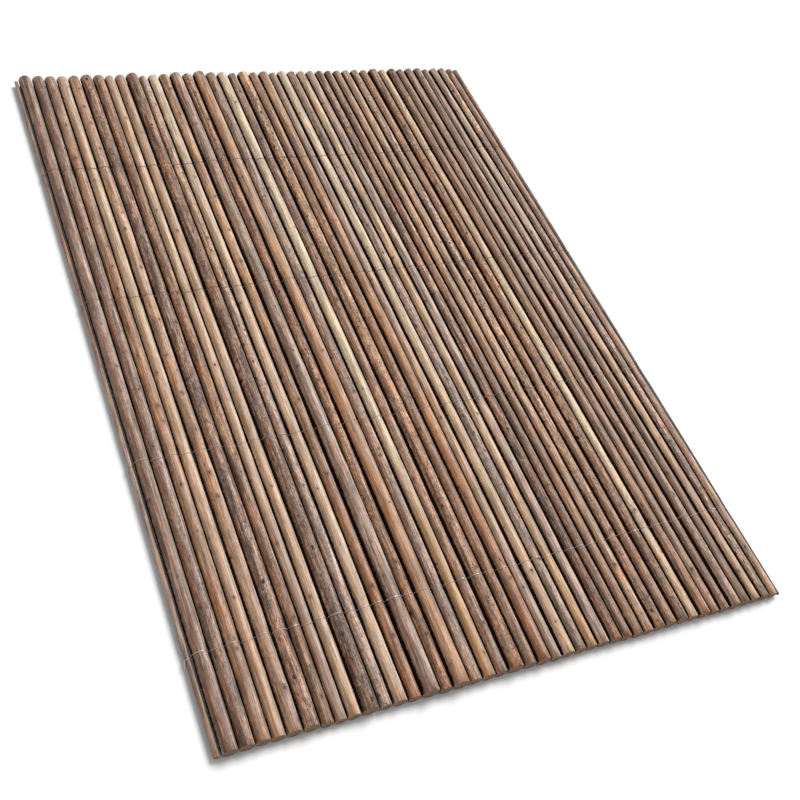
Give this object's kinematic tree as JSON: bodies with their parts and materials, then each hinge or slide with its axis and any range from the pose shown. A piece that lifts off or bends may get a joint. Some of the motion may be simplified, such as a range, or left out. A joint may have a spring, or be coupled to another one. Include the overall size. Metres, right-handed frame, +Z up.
{
  "type": "outdoor rug of wired canes",
  "caption": "Flat rectangular outdoor mat of round unpeeled canes laid side by side and bound with rows of thin wire woven over and under them.",
  "frame": {"origin": "the mat's middle, on the surface that it lies on", "axes": "+X across the canes, +Y along the canes towards the far edge of the picture, +Z up"},
  "size_m": [0.6022, 0.85, 0.018],
  "materials": {
    "cane_straw": "weathered thin bark, pale straw, matt",
    "cane_sand": "weathered thin bark, sand brown, matt",
    "cane_tan": "smooth bark, warm tan, a low sheen",
    "cane_russet": "smooth bark, red brown, a low sheen",
    "cane_mauve": "smooth bark, mauve brown, a low sheen",
    "cane_grey": "weathered bark, grey, matt",
    "cane_bark": "rough scaly bark, dark brown with pale flakes, matt",
    "binding_wire": "dull galvanised wire"
  },
  "bodies": {
    "root": {"cane_00": "cane_sand", "cane_01": "cane_grey", "cane_02": "cane_mauve", "cane_03": "cane_tan", "cane_04": "cane_straw", "cane_05": "cane_sand", "cane_06": "cane_bark", "cane_07": "cane_russet", "cane_08": "cane_straw", "cane_09": "cane_straw", "cane_10": "cane_bark", "cane_11": "cane_mauve", "cane_12": "cane_straw", "cane_13": "cane_tan", "cane_14": "cane_grey", "cane_15": "cane_russet", "cane_16": "cane_tan", "cane_17": "cane_mauve", "cane_18": "cane_straw", "cane_19": "cane_mauve", "cane_20": "cane_russet", "cane_21": "cane_tan", "cane_22": "cane_tan", "cane_23": "cane_sand", "cane_24": "cane_straw", "cane_25": "cane_grey", "cane_26": "cane_sand", "cane_27": "cane_grey", "cane_28": "cane_bark", "cane_29": "cane_grey", "cane_30": "cane_tan", "cane_31": "cane_mauve", "cane_32": "cane_russet", "cane_33": "cane_tan", "cane_34": "cane_russet", "cane_35": "cane_straw", "cane_36": "cane_russet", "cane_37": "cane_tan", "cane_38": "cane_mauve", "cane_39": "cane_grey", "cane_40": "cane_mauve", "cane_41": "cane_sand", "cane_42": "cane_bark", "cane_43": "cane_mauve", "cane_44": "cane_tan", "wire_1_a": "binding_wire", "wire_1_b": "binding_wire", "wire_2_a": "binding_wire", "wire_2_b": "binding_wire", "wire_3_a": "binding_wire", "wire_3_b": "binding_wire", "wire_4_a": "binding_wire", "wire_4_b": "binding_wire"}
  },
  "joints": []
}
